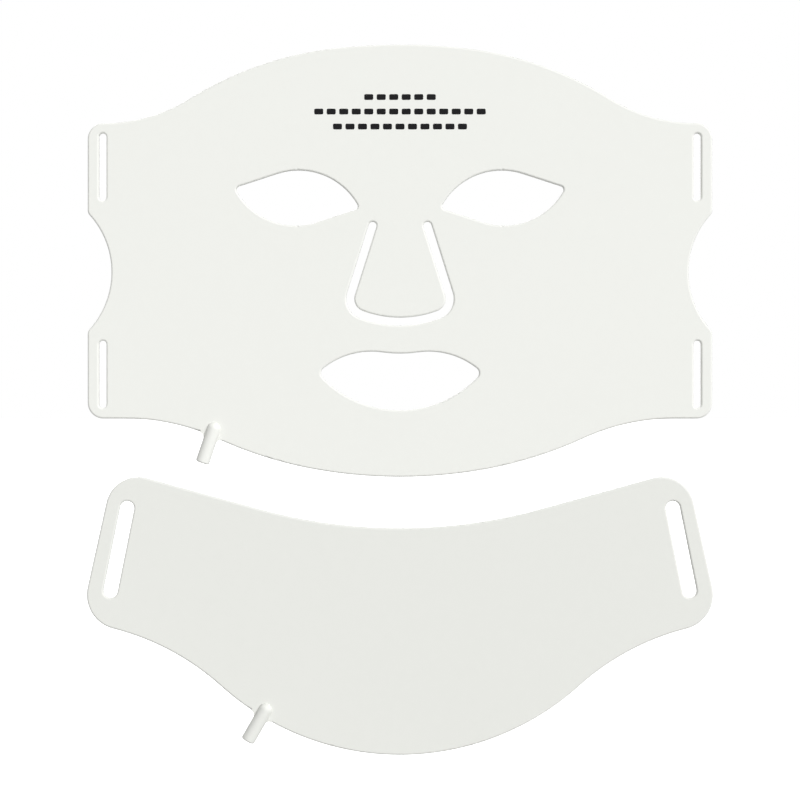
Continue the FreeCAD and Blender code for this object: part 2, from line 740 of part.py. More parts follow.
def stub_sleeve(panel, frame, rear_sheet):
    """Silicone of the stub that belongs to the front skin, with fillets at its root."""
    radius = "Sizes.stub_radius"
    tip = "Sizes.stub_tip_radius"
    core = add_part("Cylinder", f"{panel}_stub_core", Radius=f"{radius} - {tip}",
                    Height="Sizes.stub_length + Sizes.stub_buried")
    core.Placement = shifted(frame, 0, 0, -size("stub_buried"))
    tube = add_part("Cylinder", f"{panel}_stub_tube", Radius=radius,
                    Height=f"Sizes.stub_length + Sizes.stub_buried - {tip}")
    tube.Placement = shifted(frame, 0, 0, -size("stub_buried"))
    tip_ring = add_part("Torus", f"{panel}_stub_tip_ring", Radius1=f"{radius} - {tip}", Radius2=tip)
    tip_ring.Placement = shifted(frame, 0, 0, size("stub_length") - size("stub_tip_radius"))
    end = add_part("Sphere", f"{panel}_stub_end", Radius=radius)
    end.Placement = shifted(frame, 0, 0, -size("stub_buried"))
    fillet = size("stub_root_fillet")
    root_low = -size("stub_buried") / 2
    flare = add_part("Cylinder", f"{panel}_stub_flare", Radius=f"{radius} + Sizes.stub_root_fillet",
                     Height="Sizes.stub_buried / 2 + Sizes.stub_root_fillet")
    flare.Placement = shifted(frame, 0, 0, root_low)
    hollow = add_part("Torus", f"{panel}_stub_flare_hollow", Radius1=f"{radius} + Sizes.stub_root_fillet",
                      Radius2="Sizes.stub_root_fillet")
    hollow.Placement = shifted(frame, 0, 0, fillet)
    slab = add_part("Box", f"{panel}_stub_slab", Length=f"2 * ({radius} + Sizes.stub_root_fillet)",
                    Width="Sizes.sheet_thickness", Height="Sizes.stub_buried / 2 + Sizes.stub_root_fillet")
    slab.Placement = shifted(frame, -(size("stub_radius") + fillet),
                             size("stub_radius") - size("sheet_thickness"), root_low)
    gusset = boolean("Common", f"{panel}_stub_gusset",
                     boolean("Cut", f"{panel}_stub_flared", flare, hollow), slab)
    whole = doc.addObject("Part::MultiFuse", f"{panel}_stub_whole")
    whole.Shapes = [core, tube, tip_ring, end, gusset]
    return boolean("Cut", f"{panel}_stub_sleeve", whole, rear_sheet)


# ---------------------------------------------------------------- panels
def cut_panel(panel, layers, zones, extra):
    """Cut every layer of a panel into its zones; extra holds what each cut piece gives way to."""
    pieces = {}
    for zone, block in zones.items():
        for layer, whole in layers.items():
            name = zone if zone == "nose_flap" else f"{panel}_{zone}"
            piece = boolean("Common", f"{name}_{layer}_blank", whole, block)
            if panel == "face" and zone == "centre":
                piece = boolean("Cut", f"{name}_{layer}_round_flap", piece, zones["nose_flap"])
            if (zone, layer) in extra:
                piece = extra[zone, layer](piece, f"{name}_{layer}")
            pieces[f"{name}_{layer}"] = piece
    return pieces


def build_panel(panel, rim, holes, rounded, first_row, lowest):
    """Every sub-part of one panel, by node name."""
    layers = panel_layers(panel, rim, holes, rounded)
    zones = {zone: zone_box(panel, zone) for zone in ("centre", "left", "right")}
    if panel == "face":
        zones["nose_flap"] = nose_flap_block()
    doc.recompute()
    circuit = layers["circuit"].Shape
    flap = zones["nose_flap"].Shape if panel == "face" else None
    lamps = place_lamps(panel, circuit, first_row, lowest, flap)
    frame = stub_frame(stub_root(rim, size(f"{panel}_stub_offset")), size(f"{panel}_stub_tilt"))
    wires = lead_wires(panel, frame)
    inner_end = shifted(frame, 0, 0, -size("socket_buried") - size("wire_length")).Base
    resistors = place_resistors(panel, circuit, first_row, lowest, inner_end)
    room = add_part("Cylinder", f"{panel}_socket_room", Radius="Sizes.socket_radius",
                    Height=f"Sizes.stub_length + Sizes.socket_buried + {OVERRUN}")
    room.Placement = shifted(frame, 0, 0, -size("socket_buried"))
    sleeve = stub_sleeve(panel, frame, layers["rear_skin"])

    def around_lamps(zone, more=()):
        def cut(piece, name):
            prefix = zone if zone == "nose_flap" else f"{panel}_{zone}"
            tools = [lamp for label, lamp in lamps.items() if label.startswith(prefix)]
            return boolean("Cut", name, piece, compound(f"{name}_inserts", tools + list(more)))
        return cut

    def around_socket(piece, name):
        joined = boolean("Fuse", f"{name}_with_stub", piece, sleeve)
        return boolean("Cut", name, joined, compound(f"{name}_inserts", [room, *wires.values()]))

    extra = {(zone, "rear_skin"): around_lamps(zone) for zone in zones}
    extra["left", "rear_skin"] = around_lamps("left", [resistors, room])
    extra["left", "front_skin"] = around_socket
    pieces = cut_panel(panel, layers, zones, extra)
    pieces.update(lamps)
    pieces.update(wires)
    pieces[f"{panel}_resistors"] = resistors
    pieces.update(cable_socket(panel, frame))
    return pieces


def stub_root(rim, offset):
    """Lowest point of a rim at a distance to the left of the middle line."""
    reach = 4 * size("face_half_width")
    upright = Part.LineSegment(Vector(-offset, -reach, 0), Vector(-offset, reach, 0)).toShape()
    crossings = []
    for geometry, _ in rim.pieces:
        distance, pairs, _ = geometry.toShape().distToShape(upright)
        if distance < ON_CURVE:
            crossings += [pair[0] for pair in pairs]
    return min(crossings, key=lambda point: point.y)


eyes = [eye_outline(False), eye_outline(True)]
mouth = mouth_outline()
subparts = build_panel("face", face_outline(), eyes + [mouth, nose_slot_outline()] + face_slot_outlines(),
                       [(eyes, "eye_corner_radius"), ([mouth], "mouth_corner_radius")],
                       size("face_first_row_rise"), -size("face_chin_drop"))
subparts.update(build_panel("neck", neck_outline(), neck_slot_outlines(), [],
                            -size("neck_first_row_drop"), -size("neck_bottom_drop")))
for node, item in subparts.items():
    item.Label = node
doc.recompute()


# ---------------------------------------------------------------- checks and files
def check(items, nodes):
    """Stop on a failed object, and on a sub-part that is empty or not a valid solid."""
    for item in items:
        if "Invalid" in item.State or "Error" in item.State:
            raise RuntimeError(f"{item.Name} failed: {item.State}")
    for name, item in nodes.items():
        shape = item.Shape
        if shape.isNull() or not shape.isValid() or not shape.Solids:
            raise RuntimeError(f"{name} is not a valid solid")


check(doc.Objects, subparts)
os.makedirs("parts", exist_ok=True)
for node, item in sorted(subparts.items()):
    item.Shape.exportStep(f"parts/{node}.step")
    print(f"{node}: {len(item.Shape.Solids)} solids, {item.Shape.Volume:.1f} mm3")
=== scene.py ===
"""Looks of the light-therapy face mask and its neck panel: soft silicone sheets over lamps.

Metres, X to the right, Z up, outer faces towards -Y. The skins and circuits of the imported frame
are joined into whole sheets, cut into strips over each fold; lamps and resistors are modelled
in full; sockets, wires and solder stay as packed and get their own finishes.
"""

import math

import bpy
from mathutils import Matrix, Vector


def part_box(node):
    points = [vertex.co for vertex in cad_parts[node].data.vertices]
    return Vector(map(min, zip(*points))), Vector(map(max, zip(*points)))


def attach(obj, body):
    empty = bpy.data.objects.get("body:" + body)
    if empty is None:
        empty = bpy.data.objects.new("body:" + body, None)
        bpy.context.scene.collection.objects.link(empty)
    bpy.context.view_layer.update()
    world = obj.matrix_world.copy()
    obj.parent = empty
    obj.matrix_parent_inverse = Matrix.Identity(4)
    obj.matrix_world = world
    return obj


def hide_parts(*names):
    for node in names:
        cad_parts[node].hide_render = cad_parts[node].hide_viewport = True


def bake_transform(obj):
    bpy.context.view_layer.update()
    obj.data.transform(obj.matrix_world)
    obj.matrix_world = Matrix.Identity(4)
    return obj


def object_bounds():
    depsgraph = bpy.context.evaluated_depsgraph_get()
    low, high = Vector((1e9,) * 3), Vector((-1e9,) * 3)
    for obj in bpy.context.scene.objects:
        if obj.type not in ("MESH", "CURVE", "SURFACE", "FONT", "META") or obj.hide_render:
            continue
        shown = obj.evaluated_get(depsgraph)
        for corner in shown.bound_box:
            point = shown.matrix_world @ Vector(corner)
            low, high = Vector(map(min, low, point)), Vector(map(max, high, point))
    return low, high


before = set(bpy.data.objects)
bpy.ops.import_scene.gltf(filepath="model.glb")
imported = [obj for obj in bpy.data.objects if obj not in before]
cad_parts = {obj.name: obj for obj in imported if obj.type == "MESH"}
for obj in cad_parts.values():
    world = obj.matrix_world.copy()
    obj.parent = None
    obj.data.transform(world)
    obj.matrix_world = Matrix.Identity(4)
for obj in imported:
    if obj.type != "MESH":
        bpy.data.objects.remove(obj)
CAD_BOX = [list(corner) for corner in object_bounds()]

MM = 0.001
# where each panel starts and stops bending, from the middle line
BENDS = {"face": (12 * MM, 68 * MM), "neck": (8 * MM, 48 * MM)}
BEND_STEP = 2 * MM
FLAP_BEND = 8 * MM
FLAP_STEPS = 6
WELD = 1e-6
SHARP = math.radians(34)
FLAT_ANGLE = math.radians(0.1)
NORMAL_WEIGHT = 80
# how squarely a face looks along +Y to count as one that does
SQUARE_ON = 0.9
OUTER_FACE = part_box("face_centre_front_skin")[0].y
LAMP_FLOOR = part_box("face_centre_red_leds")[0].y
LAMP_PITCH = 14.0 * MM
# each circuit's lamp grid: pitch of its columns, height of one of its rows
LAMP_GRID = {"face": (41.0 / 3 * MM, 48.0 * MM), "neck": (14.0 * MM, -142.0 * MM)}
# the colour inputs and output of a Mix node, by number
FIRST, SECOND, MIXED = 6, 7, 2
# room between the layers, so that the rear skin and the circuit never share a face
LAYER_ROOM = {"rear_skin": 0.03 * MM, "circuit": -0.02 * MM}
SAME_LEVEL = 0.002 * MM


# ---------------------------------------------------------------- selecting and editing
def only(*items):
    """Select these objects and nothing else; the first becomes active."""
    bpy.ops.object.select_all(action="DESELECT")
    for item in items:
        item.select_set(True)
    bpy.context.view_layer.objects.active = items[0]


def edit(item):
    only(item)
    bpy.ops.object.mode_set(mode="EDIT")
    bpy.ops.mesh.select_all(action="SELECT")


def done():
    bpy.ops.object.mode_set(mode="OBJECT")


def pick_faces(item, test):
    """In edit mode, leave selected only the faces whose centre and normal pass the test."""
    bpy.ops.mesh.select_all(action="DESELECT")
    bpy.ops.object.mode_set(mode="OBJECT")
    for face in item.data.polygons:
        face.select = test(face.center, face.normal)
    bpy.ops.object.mode_set(mode="EDIT")
    bpy.ops.mesh.select_mode(type="FACE")


def apply_modifier(item, kind, **settings):
    modifier = item.modifiers.new(kind.lower(), kind)
    for key, value in settings.items():
        setattr(modifier, key, value)
    only(item)
    bpy.ops.object.modifier_apply(modifier=modifier.name)


def remove(item):
    mesh = item.data
    bpy.data.objects.remove(item)
    bpy.data.meshes.remove(mesh)


def join(items, name):
    only(*items)
    if len(items) > 1:
        bpy.ops.object.join()
    whole = bpy.context.view_layer.objects.active
    whole.name = whole.data.name = name
    return whole


def smooth(item):
    """Soft shading over the rounded edges while the flat faces stay flat."""
    only(item)
    bpy.ops.object.shade_smooth_by_angle(angle=SHARP)
    apply_modifier(item, "WEIGHTED_NORMAL", mode="FACE_AREA", keep_sharp=True, weight=NORMAL_WEIGHT)


def settle(item):
    """Leave the object at the origin, unturned and unscaled, with its place in its mesh."""
    only(item)
    bpy.ops.object.transform_apply(location=True, rotation=True, scale=True)


def block(name, low, high, bevel, segments=2):
    """Rounded block between two corners."""
    bpy.ops.object.select_all(action="DESELECT")
    bpy.ops.mesh.primitive_cube_add(size=1, location=(low + high) / 2, scale=high - low)
    item = bpy.context.object
    item.name = item.data.name = name
    settle(item)
    if bevel:
        edit(item)
        bpy.ops.mesh.bevel(offset=bevel, segments=segments, affect="EDGES")
        done()
    return item


# ---------------------------------------------------------------- shader helpers
def socket(group, name, kind, into, value=None):
    made = group.interface.new_socket(name=name, in_out="INPUT" if into else "OUTPUT", socket_type=kind)
    if value is not None:
        made.default_value = value
    return made


def node(tree, kind, **settings):
    made = tree.nodes.new(kind)
    for key, value in settings.items():
        if key in made.inputs:
            made.inputs[key].default_value = value
        else:
            setattr(made, key, value)
    return made


def link(tree, source, target):
    tree.links.new(source, target)


def math_node(tree, operation, first, second):
    """One arithmetic step; either side may be a socket or a number."""
    made = tree.nodes.new("ShaderNodeMath")
    made.operation = operation
    for slot, value in zip(made.inputs, (first, second)):
        if isinstance(value, (int, float)):
            slot.default_value = value
        else:
            link(tree, value, slot)
    return made.outputs[0]


def new_group(name, inputs, outputs):
    group = bpy.data.node_groups.new(name, "ShaderNodeTree")
    for label, kind, value in inputs:
        socket(group, label, kind, True, value)
    for label, kind in outputs:
        socket(group, label, kind, False)
    start = group.nodes.new("NodeGroupInput")
    end = group.nodes.new("NodeGroupOutput")
    coordinates = group.nodes.new("ShaderNodeTexCoord").outputs["Object"]
    return group, start.outputs, end.inputs, coordinates


def noise(tree, coordinates, scale, detail=3.0, roughness=0.5):
    made = node(tree, "ShaderNodeTexNoise", Scale=scale, Detail=detail, Roughness=roughness)
    link(tree, coordinates, made.inputs["Vector"])
    return made


def sized_noise(tree, coordinates, scale_socket):
    """Noise whose size is set by the group's user."""
    made = noise(tree, coordinates, 1.0, 4.0, 0.55)
    link(tree, scale_socket, made.inputs["Scale"])
    return made


def between(tree, low, high, amount):
    """Value that runs from low to high as the amount runs from 0 to 1."""
    span = math_node(tree, "SUBTRACT", high, low)
    return math_node(tree, "ADD", low, math_node(tree, "MULTIPLY", span, amount))


def mix_colour(tree, amount, first, second):
    """Blend two colours; the second may be a socket or a fixed colour."""
    made = node(tree, "ShaderNodeMix", data_type="RGBA")
    link(tree, amount, made.inputs[0])
    link(tree, first, made.inputs[FIRST])
    if isinstance(second, tuple):
        made.inputs[SECOND].default_value = second
    else:
        link(tree, second, made.inputs[SECOND])
    return made.outputs[MIXED]


def moulded_grain():
    """Faint clouding of the colour and the fine satin grain that a blasted mould leaves."""
    group, given, out, coordinates = new_group(
        "moulded_grain",
        [("Base", "NodeSocketColor", (1, 1, 1, 1)), ("Cloud", "NodeSocketColor", (0.9, 0.9, 0.9, 1)),
         ("Cloud amount", "NodeSocketFloat", 0.5), ("Grain size", "NodeSocketFloat", 1800.0),
         ("Rough low", "NodeSocketFloat", 0.45), ("Rough high", "NodeSocketFloat", 0.6)],
        [("Color", "NodeSocketColor"), ("Roughness", "NodeSocketFloat"), ("Height", "NodeSocketFloat")])
    broad_size, fine_size, pore_size = 22.0, 260.0, 900.0
    cloud_gain, pore_height = 3.0, 0.25
    broad = noise(group, coordinates, broad_size, 2.0)
    fine = noise(group, coordinates, fine_size, 4.0)
    mixed = math_node(group, "MULTIPLY", broad.outputs["Fac"], fine.outputs["Fac"])
    cloud = math_node(group, "MULTIPLY", mixed, cloud_gain)
    amount = math_node(group, "MULTIPLY", cloud, given["Cloud amount"])
    link(group, mix_colour(group, amount, given["Base"], given["Cloud"]), out["Color"])
    grain = sized_noise(group, coordinates, given["Grain size"])
    pores = node(group, "ShaderNodeTexVoronoi", Scale=pore_size)
    link(group, coordinates, pores.inputs["Vector"])
    pits = math_node(group, "MULTIPLY", pores.outputs["Distance"], pore_height)
    link(group, math_node(group, "ADD", grain.outputs["Fac"], pits), out["Height"])
    rough = between(group, given["Rough low"], given["Rough high"], broad.outputs["Fac"])
    link(group, rough, out["Roughness"])
    return group


def fold_distance(tree, value, start, pitch):
    """Distance of a coordinate from the nearest of a row of lines."""
    moved = math_node(tree, "SUBTRACT", value, start)
    half = math_node(tree, "MULTIPLY", pitch, 0.5)
    made = tree.nodes.new("ShaderNodeMath")
    made.operation = "PINGPONG"
    link(tree, moved, made.inputs[0])
    link(tree, half, made.inputs[1])
    return made.outputs[0]


def near_line(tree, value, offset, half):
    """1 where a distance is within half a track's width of an offset, else 0."""
    gap = math_node(tree, "SUBTRACT", value, offset)
    return math_node(tree, "LESS_THAN", math_node(tree, "ABSOLUTE", gap, 0.0), half)


def circuit_tracks():
    """Mask of the copper tracks and lamp pads of the flexible circuit."""
    group, given, out, coordinates = new_group(
        "circuit_tracks",
        [("Column pitch", "NodeSocketFloat", LAMP_PITCH), ("Column start", "NodeSocketFloat", 0.0),
         ("Row pitch", "NodeSocketFloat", LAMP_PITCH), ("Row start", "NodeSocketFloat", 0.0)],
        [("Tracks", "NodeSocketFloat"), ("Pads", "NodeSocketFloat")])
    axes = group.nodes.new("ShaderNodeSeparateXYZ")
    link(group, coordinates, axes.inputs[0])
    across = fold_distance(group, axes.outputs["X"], given["Column start"], given["Column pitch"])
    down = fold_distance(group, axes.outputs["Z"], given["Row start"], given["Row pitch"])
    line_half, pad_half_width, pad_half_height = 0.45 * MM, 1.9 * MM, 2.4 * MM
    feed_offset, feed_half, riser_offset, riser_half = 2.6 * MM, 0.22 * MM, 5.2 * MM, 0.3 * MM
    line = math_node(group, "LESS_THAN", down, line_half)
    feed = near_line(group, down, feed_offset, feed_half)
    riser = near_line(group, across, riser_offset, riser_half)
    tracks = math_node(group, "MAXIMUM", math_node(group, "MAXIMUM", line, feed), riser)
    link(group, tracks, out["Tracks"])
    pad_x = math_node(group, "LESS_THAN", across, pad_half_width)
    pad_z = math_node(group, "LESS_THAN", down, pad_half_height)
    link(group, math_node(group, "MULTIPLY", pad_x, pad_z), out["Pads"])
    return group


def metal_wear():
    """Fine scratches and dull patches of plated metal."""
    group, given, out, coordinates = new_group(
        "metal_wear",
        [("Base", "NodeSocketColor", (1, 1, 1, 1)), ("Dull", "NodeSocketColor", (0.5, 0.5, 0.5, 1)),
         ("Scratch size", "NodeSocketFloat", 900.0), ("Rough low", "NodeSocketFloat", 0.2),
         ("Rough high", "NodeSocketFloat", 0.45)],
        [("Color", "NodeSocketColor"), ("Roughness", "NodeSocketFloat"), ("Height", "NodeSocketFloat")])
    patch_size = 700.0
    patches = noise(group, coordinates, patch_size, 5.0, 0.6)
    scratches = sized_noise(group, coordinates, given["Scratch size"])
    tint = mix_colour(group, patches.outputs["Fac"], given["Base"], given["Dull"])
    link(group, tint, out["Color"])
    rough = between(group, given["Rough low"], given["Rough high"], scratches.outputs["Fac"])
    link(group, rough, out["Roughness"])
    link(group, scratches.outputs["Fac"], out["Height"])
    return group


GRAIN = moulded_grain()
TRACKS = circuit_tracks()
WEAR = metal_wear()


def blank_material(name, **fixed):
    """Material with one Principled shader; fixed values go straight on its sockets."""
    material = bpy.data.materials.new(name)
    material.use_nodes = True
    tree = material.node_tree
    tree.nodes.clear()
    shader = tree.nodes.new("ShaderNodeBsdfPrincipled")
    for key, value in fixed.items():
        shader.inputs[key.replace("_", " ")].default_value = value
    output = tree.nodes.new("ShaderNodeOutputMaterial")
    link(tree, shader.outputs[0], output.inputs["Surface"])
    return material, tree, shader


def place_group(tree, group, **values):
    made = tree.nodes.new("ShaderNodeGroup")
    made.node_tree = group
    for key, value in values.items():
        made.inputs[key.replace("_", " ")].default_value = value
    return made


def add_bump(tree, shader, height, strength, distance):
    bump = node(tree, "ShaderNodeBump", Strength=strength, Distance=distance)
    link(tree, height, bump.inputs["Height"])
    link(tree, bump.outputs[0], shader.inputs["Normal"])


def moulded(name, base, cloud, grain=1800.0, rough=(0.42, 0.58), bump=0.12, depth=0.02 * MM, amount=0.5,
            **fixed):
    """Moulded silicone or plastic."""
    material, tree, shader = blank_material(name, **fixed)
    finish = place_group(tree, GRAIN, Base=(*base, 1), Cloud=(*cloud, 1), Cloud_amount=amount,
                         Grain_size=grain, Rough_low=rough[0], Rough_high=rough[1])
    link(tree, finish.outputs["Color"], shader.inputs["Base Color"])
    link(tree, finish.outputs["Roughness"], shader.inputs["Roughness"])
    add_bump(tree, shader, finish.outputs["Height"], bump, depth)
    return material


def plated(name, base, dull, rough=(0.18, 0.42), bump=0.15):
    """Plated or bare metal."""
    material, tree, shader = blank_material(name, Metallic=1.0)
    finish = place_group(tree, WEAR, Base=(*base, 1), Dull=(*dull, 1), Rough_low=rough[0],
                         Rough_high=rough[1])
    link(tree, finish.outputs["Color"], shader.inputs["Base Color"])
    link(tree, finish.outputs["Roughness"], shader.inputs["Roughness"])
    add_bump(tree, shader, finish.outputs["Height"], bump, 0.01 * MM)
    return material


def circuit_film(name, column_pitch, row_start):
    """Cream film with copper tracks and tinned lamp pads."""
    material, tree, shader = blank_material(name, Coat_Weight=0.15, Coat_Roughness=0.3)
    finish = place_group(tree, GRAIN, Base=(0.80, 0.79, 0.72, 1), Cloud=(0.70, 0.69, 0.60, 1),
                         Cloud_amount=0.6, Grain_size=1500.0, Rough_low=0.38, Rough_high=0.5)
    tracks = place_group(tree, TRACKS, Column_pitch=column_pitch, Column_start=column_pitch / 2,
                         Row_start=row_start)
    copper = mix_colour(tree, tracks.outputs["Tracks"], finish.outputs["Color"], (0.62, 0.38, 0.20, 1))
    pads = mix_colour(tree, tracks.outputs["Pads"], copper, (0.58, 0.58, 0.56, 1))
    link(tree, pads, shader.inputs["Base Color"])
    link(tree, finish.outputs["Roughness"], shader.inputs["Roughness"])
    raised = math_node(tree, "MAXIMUM", tracks.outputs["Tracks"], tracks.outputs["Pads"])
    add_bump(tree, shader, raised, 0.4, 0.04 * MM)
    return material


FACE_WHITE = (0.822, 0.830, 0.792)
# the neck's silicone is the face's white set darker: painted shade, so that the lower panel looks dimmer
NECK_WHITE_PAINTED_SHADE = (0.768, 0.776, 0.738)


def shade(colour, factor):
    """The same colour a little darker."""
    return tuple(value * factor for value in colour)


SOFT_SHEEN = {"Sheen_Weight": 0.05, "Specular_IOR_Level": 0.3}
CLEAR_LOOK = {"rough": (0.3, 0.42), "Alpha": 0.2, "Specular_IOR_Level": 0.4}
FRONT = {
    "face": moulded("face_front_silicone", FACE_WHITE, shade(FACE_WHITE, 0.985), **SOFT_SHEEN),
    # the neck's front silicone carries painted shade through its darker white
    "neck": moulded("neck_front_silicone_painted_shade", NECK_WHITE_PAINTED_SHADE, shade(NECK_WHITE_PAINTED_SHADE, 0.98), **SOFT_SHEEN),
}
REAR = {
    "face": moulded("face_rear_silicone", (0.86, 0.865, 0.85), (0.82, 0.825, 0.81), **CLEAR_LOOK),
    "neck": moulded("neck_rear_silicone", (0.84, 0.845, 0.83), (0.80, 0.805, 0.79), **CLEAR_LOOK),
}
FILM = {panel: circuit_film(f"{panel}_circuit_film", *grid) for panel, grid in LAMP_GRID.items()}
INK = moulded("black_ink", (0.010, 0.010, 0.011), (0.018, 0.018, 0.019), grain=2600.0, rough=(0.6, 0.8),
              Specular_IOR_Level=0.08)
LAMP_WHITE = moulded("lamp_housing", (0.82, 0.81, 0.77), (0.72, 0.70, 0.64), grain=3500.0)
RED_RESIN = moulded("red_lamp_resin", (0.62, 0.045, 0.04), (0.42, 0.02, 0.02), grain=1500.0,
                    rough=(0.12, 0.22), Coat_Weight=0.4)
DARK_RESIN = moulded("infrared_lamp_resin", (0.055, 0.03, 0.075), (0.02, 0.012, 0.03), grain=1500.0,
                     rough=(0.12, 0.22), Coat_Weight=0.4)
TIN = plated("tinned_terminal", (0.78, 0.78, 0.76), (0.6, 0.6, 0.59))
CERAMIC = moulded("resistor_ceramic", (0.78, 0.76, 0.71), (0.66, 0.64, 0.6), grain=2600.0)
GLAZE = moulded("resistor_glaze", (0.018, 0.018, 0.02), (0.05, 0.05, 0.055), grain=2200.0,
                rough=(0.25, 0.4))
RED_WIRE = moulded("wire_insulation", (0.45, 0.035, 0.03), (0.3, 0.02, 0.02), grain=2600.0)
SOLDER = plated("solder", (0.70, 0.70, 0.71), (0.5, 0.5, 0.51), rough=(0.22, 0.5), bump=0.5)
SOCKET = moulded("socket_plastic", (0.72, 0.72, 0.69), (0.64, 0.64, 0.61), grain=2600.0)
NICKEL = plated("ferrule_nickel", (0.74, 0.72, 0.68), (0.58, 0.56, 0.52))
BRASS = plated("contact_brass", (0.80, 0.60, 0.28), (0.6, 0.42, 0.18))


def wear(item, *materials):
    item.data.materials.clear()
    for material in materials:
        item.data.materials.append(material)


# ---------------------------------------------------------------- sheets
def merged_copy(source, name):
    """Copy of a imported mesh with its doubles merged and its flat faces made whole."""
    piece = bpy.data.objects.new(name, bpy.data.objects[source].data.copy())
    piece.data.name = name
    bpy.context.scene.collection.objects.link(piece)
    edit(piece)
    bpy.ops.mesh.remove_doubles(threshold=WELD)
    bpy.ops.mesh.dissolve_limited(angle_limit=FLAT_ANGLE)
    done()
    return piece


def part_from_neighbour(piece, layer):
    """Open a hair of room where two layers meet, so that neither shows through the other."""
    if layer not in LAYER_ROOM:
        return
    edit(piece)
    bpy.ops.mesh.select_all(action="DESELECT")
    done()
    for vertex in piece.data.vertices:
        vertex.select = abs(vertex.co.y - LAMP_FLOOR) < SAME_LEVEL
    bpy.ops.object.mode_set(mode="EDIT")
    bpy.ops.mesh.select_mode(type="VERT")
    bpy.ops.transform.translate(value=(0, LAYER_ROOM[layer], 0))
    done()


def slice_sheet(piece, normal, places):
    """Cut flat faces into strips, so that the sheet can bend."""
    edit(piece)
    for place in places:
        bpy.ops.mesh.select_all(action="SELECT")
        bpy.ops.mesh.bisect(plane_co=place, plane_no=normal)
    done()


def bend_places(panel, side):
    start, stop = BENDS[panel]
    count = round((stop - start) / BEND_STEP)
    return [Vector((side * (start + step * BEND_STEP), 0, 0)) for step in range(count + 1)]


def half_sheet(panel, side_name, layer, material):
    """One half of a panel's skin or circuit, whole over its fold."""
    side = -1 if side_name == "left" else 1
    name = f"{panel}_{side_name}_{layer}_sheet"
    centre, wing = f"{panel}_centre_{layer}", f"{panel}_{side_name}_{layer}"
    piece = merged_copy(centre, name)
    other = merged_copy(wing, f"{name}_wing")
    apply_modifier(piece, "BOOLEAN", operation="UNION", solver="EXACT", object=other)
    remove(other)
    edit(piece)
    bpy.ops.mesh.bisect(plane_co=(0, 0, 0), plane_no=(side, 0, 0), use_fill=True, clear_inner=True)
    done()
    part_from_neighbour(piece, layer)
    slice_sheet(piece, (1, 0, 0), bend_places(panel, side))
    smooth(piece)
    wear(piece, material)
    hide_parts(centre, wing)
    bend(piece)
    return piece


def bend(piece):
    """Bake the piece's place into its mesh."""
    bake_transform(piece)


LAYERS = (("front_skin", FRONT, "front_silicone"), ("rear_skin", REAR, "rear_silicone"),
          ("circuit", FILM, "flexible_circuit"))


def flap_sheet(layer, material):
    """One layer of the nose flap, which bends just below its fold."""
    source = f"nose_flap_{layer}"
    piece = merged_copy(source, f"{source}_sheet")
    part_from_neighbour(piece, layer)
    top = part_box(source)[1].z
    places = [Vector((0, 0, top - FLAP_BEND * step / FLAP_STEPS)) for step in range(1, FLAP_STEPS + 1)]
    slice_sheet(piece, (0, 0, 1), places)
    smooth(piece)
    wear(piece, material)
    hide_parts(source)
    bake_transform(piece)
    return piece


for layer, materials, slot in LAYERS:
    for panel in ("face", "neck"):
        for side_name in ("left", "right"):
            half_sheet(panel, side_name, layer, materials[panel])
    flap_sheet(layer, materials["face"])


# ---------------------------------------------------------------- lamps and resistors
def chips_of(source, reach):
    """Lowest and highest corner of each chip in a packed group of them."""
    found = []
    for vertex in bpy.data.objects[source].data.vertices:
        place = vertex.co
        for low, high in found:
            if all(abs(place[axis] - (low[axis] + high[axis]) / 2) < reach for axis in (0, 2)):
                for axis in range(3):
                    low[axis] = min(low[axis], place[axis])
                    high[axis] = max(high[axis], place[axis])
                break
        else:
            found.append((place.copy(), place.copy()))
    return found


def put(model, centre, name):
    """Copy of a model, with its own mesh, standing at a place."""
    copy = bpy.data.objects.new(name, model.data.copy())
    copy.data.transform(Matrix.Translation(centre))
    bpy.context.scene.collection.objects.link(copy)
    return copy


def paint(item, index):
    for face in item.data.polygons:
        face.material_index = index


def lamp_model(name, resin):
    """Surface-mounted lamp about the origin: housing with a well, resin window and two terminals."""
    half = Vector((1.36, 0.38, 1.71)) * MM
    rim, slope, well = 0.28 * MM, 0.12 * MM, 0.22 * MM
    window_inset, window_floor, window_drop, window_edge = 0.36 * MM, -0.05 * MM, 0.06 * MM, 0.08 * MM
    terminal_reach, terminal_top, terminal_half = 1.1 * MM, -0.1 * MM, 0.15 * MM
    body_low = Vector((-half.x, -half.y, -half.z + terminal_half))
    body_high = Vector((half.x, half.y, half.z - terminal_half))
    housing = block(f"{name}_housing", body_low, body_high, 0)
    edit(housing)
    pick_faces(housing, lambda centre, normal: normal.y > SQUARE_ON)
    bpy.ops.mesh.inset(thickness=rim)
    bpy.ops.mesh.inset(thickness=slope, depth=-well)
    done()
    window = block(f"{name}_window",
                   Vector((-half.x + window_inset, window_floor, body_low.z + window_inset)),
                   Vector((half.x - window_inset, half.y - window_drop, body_high.z - window_inset)),
                   window_edge, 1)
    terminals = [block(f"{name}_terminal_{end}", Vector((-terminal_reach, -half.y, z - terminal_half)),
                       Vector((terminal_reach, terminal_top, z + terminal_half)), 0)
                 for end, z in enumerate((-half.z + terminal_half, half.z - terminal_half))]
    for part in (housing, window, *terminals):
        wear(part, LAMP_WHITE, resin, TIN)
    paint(window, 1)
    for terminal in terminals:
        paint(terminal, 2)
    return join([housing, window, *terminals], name)


